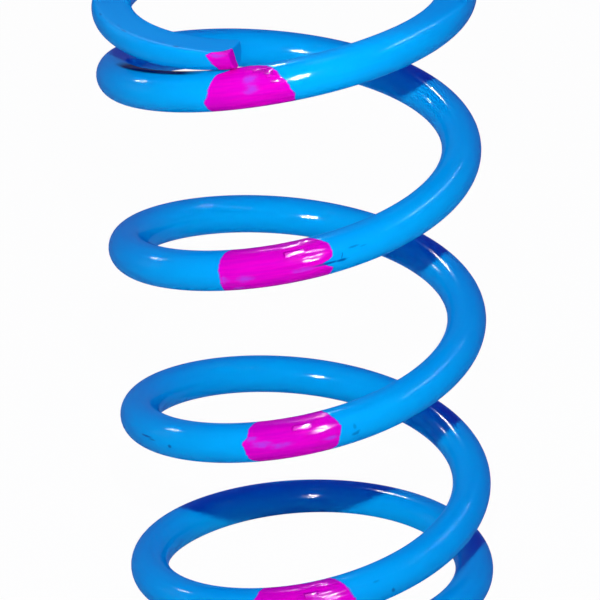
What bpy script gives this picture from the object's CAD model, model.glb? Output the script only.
"""Drive clutch spring: one length of round wire with ground ends, a glossy blue coat and magenta marks.

The wire is swept along the same centre line as the solid, finely enough for smooth gloss.
Each vertex knows its place on the wire as if that were straight, and the paint is made from that.
"""

import math

import bpy
import numpy as np
from mathutils import Matrix, Vector


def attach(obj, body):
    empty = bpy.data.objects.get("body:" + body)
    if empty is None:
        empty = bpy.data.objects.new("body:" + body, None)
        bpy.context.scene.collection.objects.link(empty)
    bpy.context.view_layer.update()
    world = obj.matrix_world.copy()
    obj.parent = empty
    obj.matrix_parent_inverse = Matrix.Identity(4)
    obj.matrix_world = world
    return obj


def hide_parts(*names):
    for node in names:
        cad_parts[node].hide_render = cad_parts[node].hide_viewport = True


MM = 0.001

# The wire and its coil, in millimetres, turns and degrees
WIRE_D = 6.25
WIRE_R = WIRE_D / 2
OUTER_D = 60.0
COIL_R = (OUTER_D - WIRE_D) / 2
PITCH = 29.4
TURNS = 5.04
LOWER_TIP_ANGLE = 238.0
TIP_GAP = 0.25
TIP_BEVEL = 0.4
LOWER_LEAD_IN = 0.65
UPPER_LEAD_IN = 0.35
UPPER_TIP_LIFT = 1.2
TIP_LIFT_TURNS = 0.1
LOWER_GRIND = 1.7
UPPER_GRIND = 1.7
TURN_LENGTH = math.hypot(2 * math.pi * COIL_R, PITCH)

# Fineness of the swept mesh
RING_STEP = 0.7
FLAT_SIDES = 12
INNER_SIDES = 20
OUTER_SIDES = 28
SIDES = 2 * FLAT_SIDES + INNER_SIDES + OUTER_SIDES
CAP_RINGS = 6
# Degrees up the wire at which a ground face, or the uncut top, begins at the highest
EDGE_DEGREES = 78.0
# How much closer together samples lie near the edges of the ground faces
EDGE_CROWDING = 0.11
# Samples beside a ground face that count as its edge
EDGE_SIDES = 5
# Height over which the edge of a ground face is rounded
EDGE_ROUND = 0.9
# Steps of the rounded bevel at a cut end: millimetres inward and outward
BEVEL_STEPS = [(0.0, 0.10), (0.06, 0.22), (0.16, 0.32), (0.34, 0.39), (0.55, TIP_BEVEL)]

# Where each magenta mark begins and ends: pairs of degrees round the wire (0 outward, 90 up)
# and turns along it
MARKS = [
    {
        "begin": [(-60, 1.036), (15, 1.034), (50, 1.037), (75, 1.040), (105, 1.043)],
        "end": [(-60, 1.121), (5, 1.125), (35, 1.122), (60, 1.118), (85, 1.114), (110, 1.107)],
    },
    {
        "begin": [
            (-60, 2.045), (-37, 2.039), (0, 2.038), (22, 2.034), (37, 2.041), (60, 2.041), (110, 2.047),
        ],
        "end": [
            (-60, 2.107), (-37, 2.113), (10, 2.119), (25, 2.121), (60, 2.116), (85, 2.111), (110, 2.107),
        ],
    },
    {
        "begin": [(-60, 3.021), (-37, 3.023), (25, 3.0235), (52, 3.0245), (85, 3.028), (100, 3.030)],
        "end": [
            (-60, 3.113), (-25, 3.116), (-14, 3.1155), (-9, 3.111), (-4, 3.099), (1, 3.112),
            (8, 3.117), (25, 3.120), (55, 3.118), (80, 3.111), (100, 3.103),
        ],
    },
    {
        "begin": [(-60, 4.019), (-22, 4.018), (7, 4.022), (40, 4.026), (67, 4.031), (83, 4.040)],
        "end": [
            (-55, 4.091), (-22, 4.093), (7, 4.090), (37, 4.085), (52, 4.082), (67, 4.079),
            (83, 4.073), (100, 4.060),
        ],
    },
    {
        "begin": [
            (-150, 5.029), (-50, 5.0285), (-23, 5.0258), (4, 5.0230), (8, 5.026), (40, 5.034),
            (67, 5.040), (75, 5.06),
        ],
        "end": [(-180, 5.3), (180, 5.3)],
    },
]
# Degrees round the wire that the brush reached
MARK_LOW = -88
MARK_HIGH = 112
# Turns before the upper tip within which the brush reached all round
TIP_BRUSHED = 0.05
# Millimetres between which the room to a mark's edges is kept
ROOM_LEAST = -30.0
ROOM_MOST = 8.0
# On the upper cut face the mark begins so far outward at the middle, and further up by this slope
CAP_MARK_OUTWARD = 0.75
CAP_MARK_SLOPE = 0.25

# Thin places in the marks, where the blue shows through: turns, degrees, millimetres along and across
THIN_PLACES = [
    (4.0600, 39, 1.3, 0.9), (4.0592, 10, 1.4, 0.7),
    (3.0450, -9, 1.5, 0.7), (3.0275, -8, 0.6, 0.8), (3.0365, -43, 1.0, 0.3), (3.0940, -5, 2.2, 0.4),
    (2.0437, 33, 1.2, 0.45), (2.0520, 14, 1.7, 0.6), (2.0680, 6, 2.2, 0.5), (2.1095, 0, 1.4, 0.4),
    (1.0600, 20, 1.5, 0.5), (5.0330, 2, 1.2, 0.6),
]

# Nicks in the coat: turns, degrees, half length and half width in millimetres, and darkness
NICKS = [
    (1.9290, 12, 1.30, 0.16, 0.8), (1.9380, 7, 0.80, 0.15, 0.6), (1.9616, 0, 0.34, 0.28, 0.8),
    (3.1368, 23, 0.75, 0.18, 0.5), (3.1450, 17, 0.50, 0.14, 0.3), (3.1245, -5, 0.90, 0.22, 0.9),
    (3.1130, -4, 1.60, 0.20, 0.9), (2.1308, 14, 0.24, 0.40, 0.4), (2.1300, -9, 0.50, 0.26, 0.6),
    (1.1579, -11, 0.26, 0.40, 0.7), (1.1457, 35, 0.50, 0.18, 0.3), (2.1330, -3, 0.30, 0.20, 0.5),
    (4.8816, 38, 0.50, 0.30, 0.35), (4.9305, 40, 0.80, 0.25, 0.3), (4.9939, 38, 0.50, 0.32, 0.45),
]
NICK_REACH = 3.5
NICK_LAYERS = 3

# Dabs of thick paint in the marks, flattened by the brush: turns, degrees, half length and half width
# in millimetres, and slopes along and around the wire
DABS = [
    (3.0890, 45, 1.50, 0.50, -0.08, 0.32), (2.0885, 49, 1.40, 0.45, -0.08, 0.32),
    (1.0885, 46, 1.00, 0.45, -0.08, 0.32), (4.0760, 42, 0.60, 0.22, -0.08, 0.25),
    (4.0700, 56, 0.50, 0.20, -0.08, 0.50), (4.0800, 24, 0.70, 0.16, -0.08, 0.05),
    (4.0656, 64, 0.50, 0.24, -0.01, -0.19), (4.0681, 70, 0.55, 0.22, 0.0, -0.07),
    (4.0716, 57, 0.60, 0.24, 0.0, -0.33), (4.0733, 72, 0.60, 0.22, 0.01, -0.04),
    (4.0758, 61, 0.55, 0.24, 0.02, -0.25), (4.0745, 50, 0.45, 0.20, 0.02, -0.48),
]
DAB_LAYERS = 4
DAB_REACH = 3.0
DAB_HEIGHT = 0.16

# The crown under the upper end coil, where hardly any paint reached: turns from and to, degrees from and to,
# and millimetres over which it fades in along and around the wire
SLIT_TURNS = (3.895, 4.004)
SLIT_DEGREES = (74, 150)
SLIT_FADE = (4.0, 0.4)

# The camera that the photograph's outline gives, in millimetres, radians and pixels
CAM_ELEVATION = 0.4118
CAM_ROLL = -0.04961
CAM_TARGET = (0.146, 0.0, 50.796)
CAM_DISTANCE = 608.85
CAM_FOCAL_PX = 3780.36
IMAGE_PX = 600
SENSOR_MM = 36.0


def level_turns(lead_in, risen):
    """Turns that an end stays level for, so that it has risen so far after one turn."""
    if risen / PITCH <= lead_in / 2:
        return 1 - math.sqrt(2 * lead_in * risen / PITCH)
    return 1 - lead_in / 2 - risen / PITCH


def rise(u, level, lead_in):
    """Rise of the wire at so many turns from a tip: level, then steeper, then even."""
    steeper = (u - level) ** 2 / (2 * lead_in)
    even = u - level - lead_in / 2
    return PITCH * np.where(u <= level, 0.0, np.where(u <= level + lead_in, steeper, even))


LOWER_LEVEL = level_turns(LOWER_LEAD_IN, WIRE_D + TIP_GAP)
UPPER_LEVEL = level_turns(UPPER_LEAD_IN, WIRE_D + TIP_GAP - UPPER_TIP_LIFT)
HALF_TURNS = TURNS / 2
UPPER_Z = WIRE_R + float(
    rise(HALF_TURNS, LOWER_LEVEL, LOWER_LEAD_IN) + rise(HALF_TURNS, UPPER_LEVEL, UPPER_LEAD_IN)
)
UPPER_FACE = UPPER_Z + WIRE_R - UPPER_GRIND - LOWER_GRIND


def centre_line(u):
    """Points of the wire's centre line at turns u from the lower tip, in millimetres."""
    left = TURNS - u
    lower = WIRE_R + rise(u, LOWER_LEVEL, LOWER_LEAD_IN)
    tip_rise = UPPER_TIP_LIFT * np.maximum(0, 1 - left / TIP_LIFT_TURNS) ** 2
    upper = UPPER_Z - rise(left, UPPER_LEVEL, UPPER_LEAD_IN) + tip_rise
    a = np.radians(LOWER_TIP_ANGLE) + 2 * np.pi * u
    z = np.where(u <= HALF_TURNS, lower, upper) - LOWER_GRIND
    return np.stack([COIL_R * np.cos(a), COIL_R * np.sin(a), z], axis=-1)


def unit(v):
    return v / np.linalg.norm(v, axis=-1, keepdims=True)


def wire_frames(u):
    """Centre, direction along, direction outward and direction upward of the wire at turns u."""
    e = 1e-4
    along = unit(centre_line(np.minimum(u + e, TURNS)) - centre_line(np.maximum(u - e, 0)))
    a = np.radians(LOWER_TIP_ANGLE) + 2 * np.pi * u
    out = np.stack([np.cos(a), np.sin(a), np.zeros_like(a)], axis=-1)
    out = unit(out - (out * along).sum(-1, keepdims=True) * along)
    return centre_line(u), along, out, np.cross(out, along)


def at_degrees(pairs, phi):
    """Turns at degrees phi, between the pairs."""
    degrees, turns = zip(*pairs)
    return np.interp(phi, degrees, turns)


def mark_room(u, phi):
    """Millimetres from a place on the wire to its mark's begin, to its end, and to the brush's reach."""
    begin = np.full(u.shape, ROOM_LEAST)
    end = np.full(u.shape, ROOM_LEAST)
    best = np.full(u.shape, -np.inf)
    for mark in MARKS:
        from_begin = (u - at_degrees(mark["begin"], phi)) * TURN_LENGTH
        to_end = (at_degrees(mark["end"], phi) - u) * TURN_LENGTH
        room = np.minimum(from_begin, to_end)
        nearer = room > best
        best = np.where(nearer, room, best)
        begin = np.where(nearer, from_begin, begin)
        end = np.where(nearer, to_end, end)
    side = np.minimum(phi - MARK_LOW, MARK_HIGH - phi) * math.radians(1) * WIRE_R
    side = np.where(u > TURNS - TIP_BRUSHED, ROOM_MOST, side)
    return np.clip(np.stack([begin, end, side], axis=-1), ROOM_LEAST, ROOM_MOST)


def cap_room(outward, upward, upper):
    """As mark_room, on a cut face: the brush touched the outer part of the upper one."""
    room = np.full(outward.shape + (3,), ROOM_MOST)
    room[..., 0] = outward - CAP_MARK_OUTWARD - CAP_MARK_SLOPE * upward if upper else ROOM_LEAST
    return room


def thinness(u, phi):
    """How thin the marks' paint lies, from 0 to 1."""
    thin = np.zeros(u.shape)
    for turns, degrees, along, across in THIN_PLACES:
        x = (u - turns) * TURN_LENGTH / along
        y = np.radians(phi - degrees) * WIRE_R / across
        thin = np.maximum(thin, np.exp(-(x * x + y * y)))
    return thin


def slit_share(u, phi):
    """How bare the wire is in the slit under the upper end coil, from 0 to 1."""
    along = np.minimum(u - SLIT_TURNS[0], SLIT_TURNS[1] - u) * TURN_LENGTH / SLIT_FADE[0]
    degrees = np.minimum(phi - SLIT_DEGREES[0], SLIT_DEGREES[1] - phi)
    around = np.radians(degrees) * WIRE_R / SLIT_FADE[1]
    return np.clip(along + 0.5, 0, 1) * np.clip(around + 0.5, 0, 1)


def nick_offsets(u, phi, nicks):
    """Offset to the nearest of some nicks in its half sizes, and its darkness, 0 out of reach."""
    out = np.zeros(u.shape + (3,))
    nearest = np.full(u.shape, np.inf)
    for turns, degrees, along, across, darkness in nicks:
        x = (u - turns) * TURN_LENGTH
        y = np.radians(phi - degrees) * WIRE_R
        away = np.hypot(x, y)
        nearer = away < nearest
        nearest = np.where(nearer, away, nearest)
        here = np.stack([x / along, y / across, np.where(away < NICK_REACH, darkness, 0.0)], axis=-1)
        out = np.where(nearer[..., None], here, out)
    return out


def dab_offsets(u, phi, dabs):
    """Offset to the nearest of some dabs in its half sizes, and its slanted top's height, 0 out of reach."""
    out = np.zeros(u.shape + (3,))
    nearest = np.full(u.shape, np.inf)
    for turns, degrees, along, across, slope_along, slope_around in dabs:
        x = (u - turns) * TURN_LENGTH
        y = np.radians(phi - degrees) * WIRE_R
        away = np.hypot(x, y)
        nearer = away < nearest
        nearest = np.where(nearer, away, nearest)
        height = DAB_HEIGHT + slope_along * x + slope_around * y
        here = np.stack([x / along, y / across, np.where(away < DAB_REACH, height, 0.0)], axis=-1)
        out = np.where(nearer[..., None], here, out)
    return out


def set_attribute(mesh, name, kind, values):
    """Stores values on the mesh's vertices."""
    attribute = mesh.attributes.new(name, kind, "POINT")
    field = "vector" if kind == "FLOAT_VECTOR" else "value"
    attribute.data.foreach_set(field, np.asarray(values, dtype=np.float32).ravel())


def degrees_of_cut(height):
    """Degrees up the wire at which a face at this height over its centre cuts it, EDGE_DEGREES at most."""
    return np.minimum(np.degrees(np.arcsin(np.clip(height / WIRE_R, -1, 1))), EDGE_DEGREES)


def ring_degrees(top, bottom):
    """Degrees of each ring's samples: up the outer side, over the top, down the inner side, below."""
    spans = [
        (-bottom, top, OUTER_SIDES),
        (top, 180 - top, FLAT_SIDES),
        (180 - top, 180 + bottom, INNER_SIDES),
        (180 + bottom, 360 - bottom, FLAT_SIDES),
    ]
    rows = []
    for begin, end, count in spans:
        share = np.linspace(0, 1, count, endpoint=False)
        share = share - EDGE_CROWDING * np.sin(2 * np.pi * share)
        rows.append(begin[:, None] + (end - begin)[:, None] * share)
    return np.concatenate(rows, axis=1)


def softly_below(height, limit):
    """The lower of two heights, rounded where they meet."""
    near = np.maximum(EDGE_ROUND - np.abs(height - limit), 0)
    return np.minimum(height, limit) - near * near / (4 * EDGE_ROUND)


def ground_faces(top, bottom):
    """Whether each quad of the wire, by ring and side, lies on a ground face or its edge."""
    side = np.arange(SIDES)
    over = (side >= OUTER_SIDES - EDGE_SIDES) & (side < OUTER_SIDES + FLAT_SIDES + EDGE_SIDES)
    under = (side >= SIDES - FLAT_SIDES - EDGE_SIDES) | (side < EDGE_SIDES)
    ground = ((top < EDGE_DEGREES)[:, None] & over) | ((bottom < EDGE_DEGREES)[:, None] & under)
    return ground[:-1]


def build_wire():
    """The wire as one closed mesh, with its place on the straight wire, marks and nicks on each vertex."""
    rings = int(round(TURNS * TURN_LENGTH / RING_STEP)) + 1
    u = np.linspace(0, TURNS, rings)
    centre, along, out, up = wire_frames(u)
    highest = (UPPER_FACE - centre[:, 2]) / up[:, 2]
    lowest = -centre[:, 2] / up[:, 2]
    top, bottom = degrees_of_cut(highest), degrees_of_cut(-lowest)
    phi = ring_degrees(top, bottom)
    outward = WIRE_R * np.cos(np.radians(phi))
    upward = WIRE_R * np.sin(np.radians(phi))
    ground_top = softly_below(upward, highest[:, None])
    ground_foot = -softly_below(-upward, -lowest[:, None])
    upward = np.where(upward > 0, ground_top, ground_foot)
    phi = (phi + 180) % 360 - 180
    body = centre[:, None] + out[:, None] * outward[..., None] + up[:, None] * upward[..., None]

    # Each cap: a rounded bevel, then rings inward to the middle of the cut face
    shares = [1 - inward / WIRE_R for inward, _ in BEVEL_STEPS]
    heights = [height for _, height in BEVEL_STEPS]
    flat = np.linspace(shares[-1], 0, CAP_RINGS + 1)[1:-1]
    shares += list(flat)
    heights += [TIP_BEVEL] * len(flat)

    vertices = [body.reshape(-1, 3)]
    turns = np.broadcast_to(u[:, None], phi.shape)
    places = [np.stack([turns, phi, outward, upward], axis=-1).reshape(-1, 4)]
    rooms = [mark_room(places[0][:, 0], places[0][:, 1])]
    for end, sign in ((0, -1.0), (-1, 1.0)):
        middle = (upward[end].max() + upward[end].min()) / 2
        for share, height in zip(shares + [0.0], heights + [TIP_BEVEL]):
            count = SIDES if share > 0 else 1
            across = share * outward[end][:count]
            rise_up = middle + share * (upward[end][:count] - middle)
            ring = centre[end] + across[:, None] * out[end] + rise_up[:, None] * up[end]
            ring += sign * height * along[end]
            ring[:, 2] = np.clip(ring[:, 2], 0, UPPER_FACE)
            vertices.append(ring)
            reach = np.full(count, u[end] + sign * height / TURN_LENGTH)
            places.append(np.stack([reach, phi[end][:count], across, rise_up], axis=-1))
            rooms.append(cap_room(across, rise_up, end == -1))
    vertices = np.concatenate(vertices)
    places = np.concatenate(places)

    faces = []

    def bridge(first, second):
        """Quads between two rings that start at these vertices."""
        for k in range(SIDES):
            m = (k + 1) % SIDES
            faces.append((first + k, second + k, second + m, first + m))

    for r in range(rings - 1):
        bridge(r * SIDES, (r + 1) * SIDES)
    wire_faces = len(faces)
    cap_size = len(shares) * SIDES + 1
    for cap, edge in ((rings * SIDES, 0), (rings * SIDES + cap_size, (rings - 1) * SIDES)):
        lower = edge == 0
        before = edge
        for r in range(len(shares)):
            now = cap + r * SIDES
            bridge(now, before) if lower else bridge(before, now)
            before = now
        hub = cap + cap_size - 1
        for k in range(SIDES):
            m = (k + 1) % SIDES
            faces.append((hub, before + k, before + m) if lower else (before + m, before + k, hub))

    mesh = bpy.data.meshes.new("painted_wire")
    mesh.from_pydata((vertices * MM).tolist(), [], faces)
    mesh.polygons.foreach_set("use_smooth", np.ones(len(faces), dtype=bool))
    # The cut and ground faces, with their edges, are less glossy than the round wire
    dull = np.ones(len(faces), dtype=np.int32)
    dull[:wire_faces] = ground_faces(top, bottom).ravel()
    mesh.polygons.foreach_set("material_index", dull)

    place_u, place_phi = places[:, 0], places[:, 1]
    straight = np.stack([places[:, 2], places[:, 3], place_u * TURN_LENGTH], axis=-1)
    set_attribute(mesh, "straight", "FLOAT_VECTOR", straight)
    set_attribute(mesh, "mark_room", "FLOAT_VECTOR", np.concatenate(rooms))
    set_attribute(mesh, "thin", "FLOAT", thinness(place_u, place_phi))
    set_attribute(mesh, "slit", "FLOAT", slit_share(place_u, place_phi))
    for layer in range(NICK_LAYERS):
        offsets = nick_offsets(place_u, place_phi, NICKS[layer::NICK_LAYERS])
        set_attribute(mesh, "nick_%d" % layer, "FLOAT_VECTOR", offsets)
    for layer in range(DAB_LAYERS):
        offsets = dab_offsets(place_u, place_phi, DABS[layer::DAB_LAYERS])
        set_attribute(mesh, "dab_%d" % layer, "FLOAT_VECTOR", offsets)
    add_uv(mesh, places)
    mesh.update()
    mesh.validate()
    piece = bpy.data.objects.new("painted_spring", mesh)
    bpy.context.scene.collection.objects.link(piece)
    return piece


def add_uv(mesh, places):
    """Unrolls the wire one turn a row."""
    rows = math.ceil(TURNS) + 1
    loop_vertex = np.empty(len(mesh.loops), dtype=np.int32)
    mesh.loops.foreach_get("vertex_index", loop_vertex)
    face_start = np.array([p.loop_start for p in mesh.polygons])
    face_total = np.array([p.loop_total for p in mesh.polygons])
    owner = np.repeat(np.arange(len(face_start)), face_total)
    turn = places[loop_vertex, 0]
    around = (places[loop_vertex, 1] + 180) / 360
    lowest_turn = np.minimum.reduceat(turn, face_start)[owner]
    highest = np.maximum.reduceat(around, face_start)[owner]
    around = np.where((highest > 0.75) & (around < 0.25), around + 1, around)
    row = np.clip(np.floor(lowest_turn) + 1, 0, rows - 1)
    uv = np.stack([0.01 + 0.95 * (turn - np.floor(lowest_turn)), (row + 0.02 + 0.9 * around) / rows], axis=-1)
    layer = mesh.uv_layers.new(name="unrolled")
    layer.data.foreach_set("uv", uv.astype(np.float32).ravel())


class Nodes:
    """Short ways to add and join the nodes of one material."""

    def __init__(self, name):
        self.material = bpy.data.materials.new(name)
        self.material.use_nodes = True
        self.tree = self.material.node_tree
        self.shader = self.tree.nodes["Principled BSDF"]

    def add(self, kind, **settings):
        node = self.tree.nodes.new(kind)
        for key, value in settings.items():
            setattr(node, key, value)
        return node

    def feed(self, socket, value):
        """Joins a socket to another one, or sets its value."""
        if isinstance(value, bpy.types.NodeSocket):
            self.tree.links.new(value, socket)
        else:
            socket.default_value = value

    def attribute(self, name):
        return self.add("ShaderNodeAttribute", attribute_name=name)

    def math(self, operation, a, b=0.0, c=0.0, clamp=False):
        node = self.add("ShaderNodeMath", operation=operation, use_clamp=clamp)
        for socket, value in zip(node.inputs, (a, b, c)):
            self.feed(socket, value)
        return node.outputs[0]

    def split(self, vector):
        node = self.add("ShaderNodeSeparateXYZ")
        self.feed(node.inputs[0], vector)
        return list(node.outputs)

    def scaled(self, vector, factors):
        node = self.add("ShaderNodeVectorMath", operation="MULTIPLY")
        self.feed(node.inputs[0], vector)
        node.inputs[1].default_value = factors
        return node.outputs[0]

    def noise(self, vector, scale, detail=2.0, roughness=0.5):
        node = self.add("ShaderNodeTexNoise")
        self.feed(node.inputs["Vector"], vector)
        node.inputs["Scale"].default_value = scale
        node.inputs["Detail"].default_value = detail
        node.inputs["Roughness"].default_value = roughness
        return node.outputs["Fac"]

    def ramp(self, value, low, high):
        """0 below low, 1 above high, smooth between."""
        node = self.add("ShaderNodeMapRange", interpolation_type="SMOOTHSTEP")
        self.feed(node.inputs["Value"], value)
        node.inputs["From Min"].default_value = low
        node.inputs["From Max"].default_value = high
        return node.outputs["Result"]

    def mix(self, factor, a, b):
        node = self.add("ShaderNodeMix", data_type="RGBA")
        self.feed(node.inputs["Factor"], factor)
        self.feed(node.inputs["A"], a)
        self.feed(node.inputs["B"], b)
        return node.outputs["Result"]

    def bump(self, height, distance, strength, normal=None):
        node = self.add("ShaderNodeBump")
        node.inputs["Strength"].default_value = strength
        node.inputs["Distance"].default_value = distance
        self.feed(node.inputs["Height"], height)
        if normal is not None:
            self.feed(node.inputs["Normal"], normal)
        return node.outputs["Normal"]


BLUE = (0.0, 0.405, 0.770, 1)
BLUE_DEEP = (0.0, 0.370, 0.745, 1)
BLUE_PALE = (0.0, 0.430, 0.795, 1)
MAGENTA = (0.780, 0.0, 0.490, 1)
MAGENTA_DEEP = (0.680, 0.0, 0.470, 1)
LAVENDER = (0.430, 0.050, 0.640, 1)
RIM_VIOLET = (0.140, 0.050, 0.560, 1)
NICK_DARK = (0.0, 0.060, 0.270, 1)
SLIT_DARK = (0.0, 0.014, 0.100, 1)

# Paint on the round wire, and on its cut and ground faces: name, clear layer's weight and roughness
PAINTS = [("blue_gloss_paint", 0.06, 0.09), ("cut_end_paint", 0.03, 0.4)]


def paint_material(name, coat, coat_roughness):
    n = Nodes(name)
    straight = n.attribute("straight").outputs["Vector"]
    room = n.split(n.attribute("mark_room").outputs["Vector"])
    thin = n.attribute("thin").outputs["Fac"]

    # Blue coat: broad tone changes, and faint draws along the wire
    broad = n.noise(n.scaled(straight, (0.10, 0.10, 0.03)), 1.0, 2.0)
    drawn = n.noise(n.scaled(straight, (1.1, 1.1, 0.05)), 1.0, 3.0)
    blue = n.mix(n.ramp(broad, 0.35, 0.7), BLUE_DEEP, BLUE)
    blue = n.mix(n.math("MULTIPLY", n.ramp(drawn, 0.5, 0.8), 0.4), blue, BLUE_PALE)

    # Nicks show a darker coat under the blue
    ragged = n.math("MULTIPLY_ADD", n.noise(straight, 1.6, 2.0), 0.8, -0.40)
    nick = 0.0
    for layer in range(NICK_LAYERS):
        x, y, darkness = n.split(n.attribute("nick_%d" % layer).outputs["Vector"])
        away = n.math("SQRT", n.math("ADD", n.math("MULTIPLY", x, x), n.math("MULTIPLY", y, y)))
        here = n.math("SUBTRACT", 1.0, n.ramp(n.math("ADD", away, ragged), 0.4, 1.5))
        nick = n.math("MAXIMUM", n.math("MULTIPLY", here, darkness), nick)

    # Magenta brushed along the wire, with lumpy edges
    lumps = n.noise(straight, 0.45, 2.0)
    fuzz = n.noise(straight, 2.4, 2.0)
    wander = n.math("MULTIPLY_ADD", fuzz, 0.36, n.math("MULTIPLY_ADD", lumps, 0.9, -0.63))
    begin = n.math("ADD", room[0], wander)
    end = n.math("SUBTRACT", room[1], wander)
    side = n.math("MULTIPLY_ADD", wander, 2.0, room[2])
    mark = n.ramp(n.math("MINIMUM", n.math("MINIMUM", begin, end), side), -0.10, 0.14)

    # Thin places let the blue through
    blotch = n.noise(n.scaled(straight, (1.2, 1.2, 0.7)), 1.0, 3.0)
    through = n.ramp(n.math("MULTIPLY", thin, n.math("MULTIPLY_ADD", blotch, 1.8, 0.1)), 0.25, 0.95)
    bristles = n.noise(n.scaled(straight, (1.9, 1.9, 0.16)), 1.0, 3.0)
    magenta = n.mix(n.ramp(bristles, 0.35, 0.65), MAGENTA_DEEP, MAGENTA)
    magenta = n.mix(n.math("MULTIPLY", through, 0.75), magenta, LAVENDER)
    rim = n.math("MULTIPLY", n.math("MULTIPLY", mark, n.math("SUBTRACT", 1.0, mark)), 3.2)
    painted = n.mix(rim, n.mix(mark, blue, magenta), RIM_VIOLET)
    painted = n.mix(n.attribute("slit").outputs["Fac"], painted, SLIT_DARK)
    n.feed(n.shader.inputs["Base Color"], n.mix(nick, painted, NICK_DARK))

    # The brush left its paint thick towards the end of each mark: ridges along the wire, and flattened dabs
    ridges = n.math("SUBTRACT", n.noise(n.scaled(straight, (0.95, 0.95, 0.22)), 1.0, 2.0), 0.5)
    thick = n.math("SUBTRACT", 1.0, n.ramp(room[1], 5.0, 7.8))
    ridges = n.math("MULTIPLY", n.math("MULTIPLY", ridges, 0.30), n.math("MULTIPLY", thick, mark))
    for layer in range(DAB_LAYERS):
        x, y, slant = n.split(n.attribute("dab_%d" % layer).outputs["Vector"])
        inside_x = n.math("SUBTRACT", 1.0, n.ramp(n.math("ADD", n.math("ABSOLUTE", x), ragged), 0.85, 1.15))
        inside_y = n.math("SUBTRACT", 1.0, n.ramp(n.math("ABSOLUTE", y), 0.85, 1.15))
        here = n.math("MULTIPLY", n.math("MULTIPLY", inside_x, inside_y), mark)
        ridges = n.math("MULTIPLY_ADD", here, slant, ridges)

    # Relief: orange peel in the coat, the ridges and bristle lines, the mark's thickness and the nicks
    peel = n.noise(straight, 0.9, 2.0)
    relief = n.math("MULTIPLY_ADD", peel, 0.010, ridges)
    lines = n.math("MULTIPLY", n.math("SUBTRACT", bristles, 0.5), mark)
    relief = n.math("MULTIPLY_ADD", lines, 0.04, relief)
    relief = n.math("MULTIPLY_ADD", nick, -0.04, relief)
    bump = n.bump(relief, MM, 1.0)
    n.feed(n.shader.inputs["Normal"], bump)
    n.feed(n.shader.inputs["Coat Normal"], bump)

    # The gloss is a clear layer, and what lies under it has none of its own
    n.shader.inputs["Roughness"].default_value = 0.5
    n.shader.inputs["Specular IOR Level"].default_value = 0.0
    n.shader.inputs["Coat Weight"].default_value = coat
    n.shader.inputs["Coat Roughness"].default_value = coat_roughness
    return n.material


def shown_white(n):
    """1 for the rays that show the white surroundings, 0 for those that only carry their light."""
    path = n.add("ShaderNodeLightPath")
    seen = n.math("MAXIMUM", path.outputs["Is Camera Ray"], path.outputs["Is Glossy Ray"])
    return n.math("MAXIMUM", seen, path.outputs["Is Transmission Ray"])


FLOOR_SIZE = 6.0
FLOOR_SHARE = 0.98
FLOOR_COLOUR = (0.60, 0.60, 0.60, 1)
WHITE = (1, 1, 1, 1)


def add_floor():
    """A plain pale floor that shows white and keeps the spring's soft shadow."""
    half = FLOOR_SIZE / 2
    mesh = bpy.data.meshes.new("studio_floor")
    corners = [(-half, -half, 0), (half, -half, 0), (half, half, 0), (-half, half, 0)]
    mesh.from_pydata(corners, [], [(0, 1, 2, 3)])
    floor = bpy.data.objects.new("studio_floor", mesh)
    bpy.context.scene.collection.objects.link(floor)
    n = Nodes("studio_floor")
    n.shader.inputs["Base Color"].default_value = FLOOR_COLOUR
    n.shader.inputs["Roughness"].default_value = 1.0
    n.shader.inputs["Specular IOR Level"].default_value = 0.0
    glow = n.add("ShaderNodeEmission")
    glow.inputs["Color"].default_value = WHITE
    both = n.add("ShaderNodeMixShader")
    n.feed(both.inputs["Fac"], n.math("MULTIPLY", shown_white(n), FLOOR_SHARE))
    n.feed(both.inputs[1], n.shader.outputs[0])
    n.feed(both.inputs[2], glow.outputs[0])
    n.feed(n.tree.nodes["Material Output"].inputs["Surface"], both.outputs[0])
    mesh.materials.append(n.material)


FILL_COLOUR = (0.10, 0.06, 0.95, 1)
FILL_STRENGTH = 0.40


def add_world():
    """White where it is seen, and an even cool fill for the light that it gives."""
    world = bpy.data.worlds.new("studio")
    bpy.context.scene.world = world
    world.use_nodes = True
    tree = world.node_tree
    tree.nodes.clear()
    path = tree.nodes.new("ShaderNodeLightPath")
    fill = tree.nodes.new("ShaderNodeBackground")
    fill.inputs["Color"].default_value = FILL_COLOUR
    fill.inputs["Strength"].default_value = FILL_STRENGTH
    white = tree.nodes.new("ShaderNodeBackground")
    white.inputs["Color"].default_value = WHITE
    seen = tree.nodes.new("ShaderNodeMath")
    seen.operation = "MAXIMUM"
    tree.links.new(path.outputs["Is Camera Ray"], seen.inputs[0])
    tree.links.new(path.outputs["Is Glossy Ray"], seen.inputs[1])
    also = tree.nodes.new("ShaderNodeMath")
    also.operation = "MAXIMUM"
    tree.links.new(seen.outputs[0], also.inputs[0])
    tree.links.new(path.outputs["Is Transmission Ray"], also.inputs[1])
    both = tree.nodes.new("ShaderNodeMixShader")
    tree.links.new(also.outputs[0], both.inputs["Fac"])
    tree.links.new(fill.outputs[0], both.inputs[1])
    tree.links.new(white.outputs[0], both.inputs[2])
    out = tree.nodes.new("ShaderNodeOutputWorld")
    tree.links.new(both.outputs[0], out.inputs["Surface"])


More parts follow.
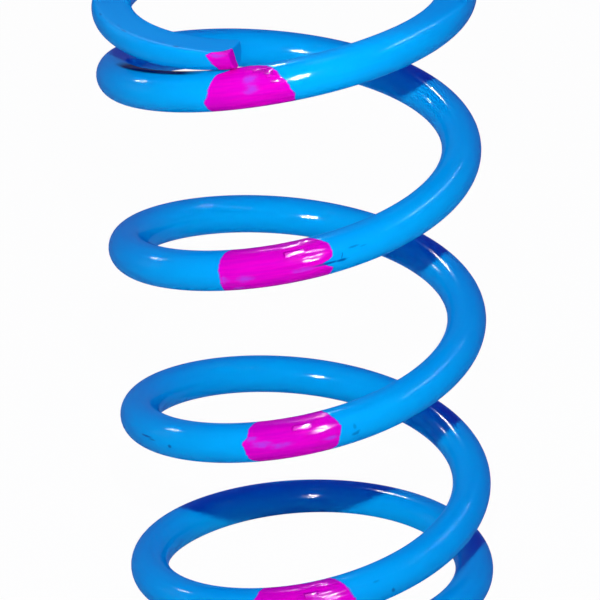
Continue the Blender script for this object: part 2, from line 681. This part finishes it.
# Lamps: name, place, width and height in millimetres, watts, and whether only gloss shows them
LAMPS = [
    ("key", (2, -292, 229.3), (6, 6), 0.97, False),
    ("key_glint", (2, -292, 229.3), (60, 120), 10.0, True),
    ("top_soft", (0, 0, 600), (120, 120), 0.40, False),
    ("left_soft", (-470, 110, 148.3), (200, 200), 0.25, False),
    ("right_strip", (305, 10, 393), (520, 12), 3.2, True),
    ("left_rim", (-347, 185, 270.3), (60, 60), 1.35, True),
    ("back_rim", (-95, 260, 407.3), (60, 60), 4.2, True),
]
LAMP_AIM = (0, 0, 52.3)


def add_lamps():
    for name, place, spread, watts, gloss_only in LAMPS:
        lamp = bpy.data.lights.new(name, "AREA")
        lamp.shape = "ELLIPSE"
        lamp.size = spread[0] * MM
        lamp.size_y = spread[1] * MM
        lamp.energy = watts
        holder = bpy.data.objects.new(name, lamp)
        holder.location = Vector(place) * MM
        holder.rotation_euler = (Vector(LAMP_AIM) - Vector(place)).to_track_quat("-Z", "Y").to_euler()
        holder.visible_diffuse = not gloss_only
        bpy.context.scene.collection.objects.link(holder)


def add_camera():
    ahead = Vector((0, math.cos(CAM_ELEVATION), -math.sin(CAM_ELEVATION)))
    right = Vector((1, 0, 0))
    up = right.cross(ahead)
    c, s = math.cos(CAM_ROLL), math.sin(CAM_ROLL)
    right, up = c * right + s * up, c * up - s * right
    camera = bpy.data.cameras.new("camera")
    camera.sensor_width = SENSOR_MM
    camera.lens = CAM_FOCAL_PX / IMAGE_PX * SENSOR_MM
    holder = bpy.data.objects.new("camera", camera)
    turned = Matrix((right, up, -ahead)).transposed().to_4x4()
    holder.matrix_world = Matrix.Translation((Vector(CAM_TARGET) - ahead * CAM_DISTANCE) * MM) @ turned
    bpy.context.scene.collection.objects.link(holder)
    bpy.context.scene.camera = holder


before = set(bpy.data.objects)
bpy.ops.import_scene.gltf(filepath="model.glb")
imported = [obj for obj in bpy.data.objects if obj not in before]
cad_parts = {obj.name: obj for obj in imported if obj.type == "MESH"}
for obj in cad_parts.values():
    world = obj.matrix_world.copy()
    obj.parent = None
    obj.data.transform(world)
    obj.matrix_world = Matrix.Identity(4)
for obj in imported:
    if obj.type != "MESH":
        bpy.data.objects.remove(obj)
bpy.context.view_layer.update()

spring = build_wire()
for name, coat, coat_roughness in PAINTS:
    spring.data.materials.append(paint_material(name, coat, coat_roughness))
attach(spring, "root")
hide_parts("coil_spring")

add_floor()
add_world()
add_lamps()
add_camera()
bpy.context.scene.view_settings.view_transform = "Standard"
